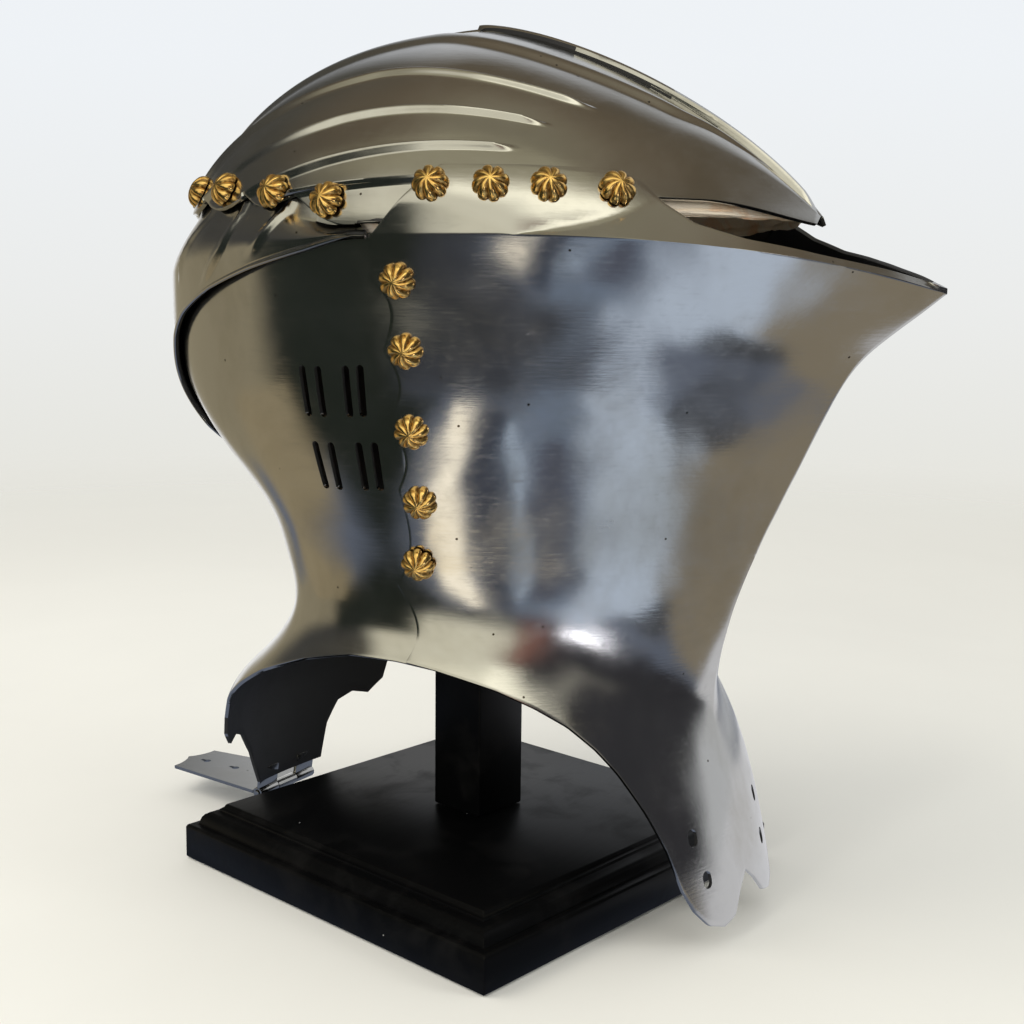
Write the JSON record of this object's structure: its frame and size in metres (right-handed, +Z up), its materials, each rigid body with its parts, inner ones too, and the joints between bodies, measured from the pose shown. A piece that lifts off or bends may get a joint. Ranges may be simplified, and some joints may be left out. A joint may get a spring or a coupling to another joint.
{
  "type": "frog-mouth helm on a display stand",
  "caption": "Frog-mouth jousting helm with a keeled, prowed face plate, fluted skull, brass rivets and a hinged rear hasp, standing on a plain square black stand.",
  "frame": {"origin": "centre of the square stand's underside, in the plane of the floor, which is also where the post's axis meets the floor", "axes": "+Z up, -Y towards the sight and the prow, -X on the wearer's right hand, X to the left hand"},
  "size_m": [0.306, 0.486, 0.468],
  "materials": {
    "steel": "polished plate, lightly marked and tarnished",
    "brass": "bright brass, dark in its flutes",
    "leather": "undyed tan leather, creased",
    "black_wood": "black satin lacquer"
  },
  "bodies": {
    "helm_and_stand": {"face_plate": "steel", "back_plate": "steel", "nape_plate": "steel", "skull": "steel", "seam_rivet_right_1": "brass", "seam_rivet_right_2": "brass", "seam_rivet_right_3": "brass", "seam_rivet_right_4": "brass", "seam_rivet_right_5": "brass", "flange_rivet_right_1": "brass", "flange_rivet_right_2": "brass", "flange_rivet_right_3": "brass", "flange_rivet_right_4": "brass", "nape_rivet_right_1": "brass", "nape_rivet_right_2": "brass", "nape_rivet_right_3": "brass", "nape_rivet_right_4": "brass", "nape_rivet_right_5": "brass", "nape_rivet_right_6": "brass", "seam_rivet_left_1": "brass", "seam_rivet_left_2": "brass", "seam_rivet_left_3": "brass", "seam_rivet_left_4": "brass", "seam_rivet_left_5": "brass", "flange_rivet_left_1": "brass", "flange_rivet_left_2": "brass", "flange_rivet_left_3": "brass", "flange_rivet_left_4": "brass", "nape_rivet_left_1": "brass", "nape_rivet_left_2": "brass", "nape_rivet_left_3": "brass", "nape_rivet_left_4": "brass", "nape_rivet_left_5": "brass", "nape_rivet_left_6": "brass", "leather_liner": "leather", "hinge_pin": "steel", "stand_base": "black_wood", "stand_post": "black_wood", "stand_rest": "black_wood"},
    "hasp_leaf": {"hasp": "steel"}
  },
  "joints": [
    {"name": "hasp_hinge", "type": "hinge", "parent": "helm_and_stand", "child": "hasp_leaf", "pos_m": [0, 0.148, 0.016], "axis": [1, 0, 0], "range_deg": [-8, 60]}
  ]
}
